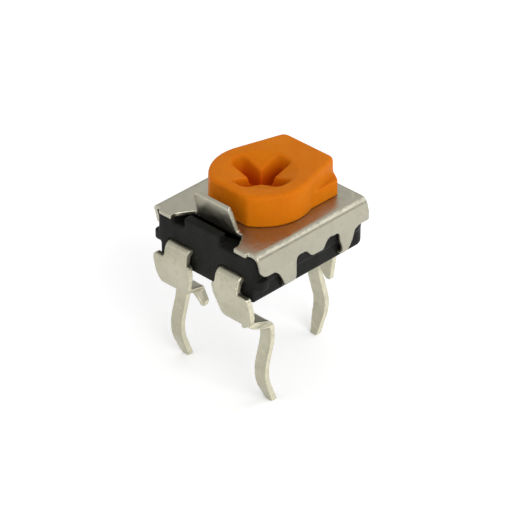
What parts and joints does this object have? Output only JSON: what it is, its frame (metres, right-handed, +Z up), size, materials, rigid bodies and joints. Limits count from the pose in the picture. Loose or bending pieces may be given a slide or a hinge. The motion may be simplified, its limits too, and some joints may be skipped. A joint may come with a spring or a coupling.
{
  "type": "trimmer potentiometer",
  "caption": "Small square top-adjust carbon trimmer with an orange cross-slot rotor, a folded metal cover, a black housing and kinked through-hole leads.",
  "frame": {"origin": "on the rotor axis in plan, at the tips of the three leads", "axes": "+Z up along the rotor axis, -Y towards the two end terminals, +Y towards the wiper terminal"},
  "size_m": [0.0062, 0.0074, 0.0094],
  "materials": {
    "housing_black": "moulded, satin",
    "carbon_element": "matt carbon film on laminate",
    "terminal_tin": "tinned sheet, satin",
    "cover_plate": "plated sheet, satin",
    "rotor_orange": "moulded, satin",
    "spring_bronze": "rolled sheet"
  },
  "bodies": {
    "base": {"housing": "housing_black", "resistance_element": "carbon_element", "terminal_left": "terminal_tin", "terminal_right": "terminal_tin", "terminal_wiper": "terminal_tin", "cover": "cover_plate"},
    "rotor_set": {"rotor": "rotor_orange", "wiper_spring": "spring_bronze"}
  },
  "joints": [
    {"name": "rotor_turn", "type": "hinge", "parent": "base", "child": "rotor_set", "pos_m": [0, 0, 0.00795], "axis": [0, 0, 1], "range_deg": [-103, 103]}
  ]
}
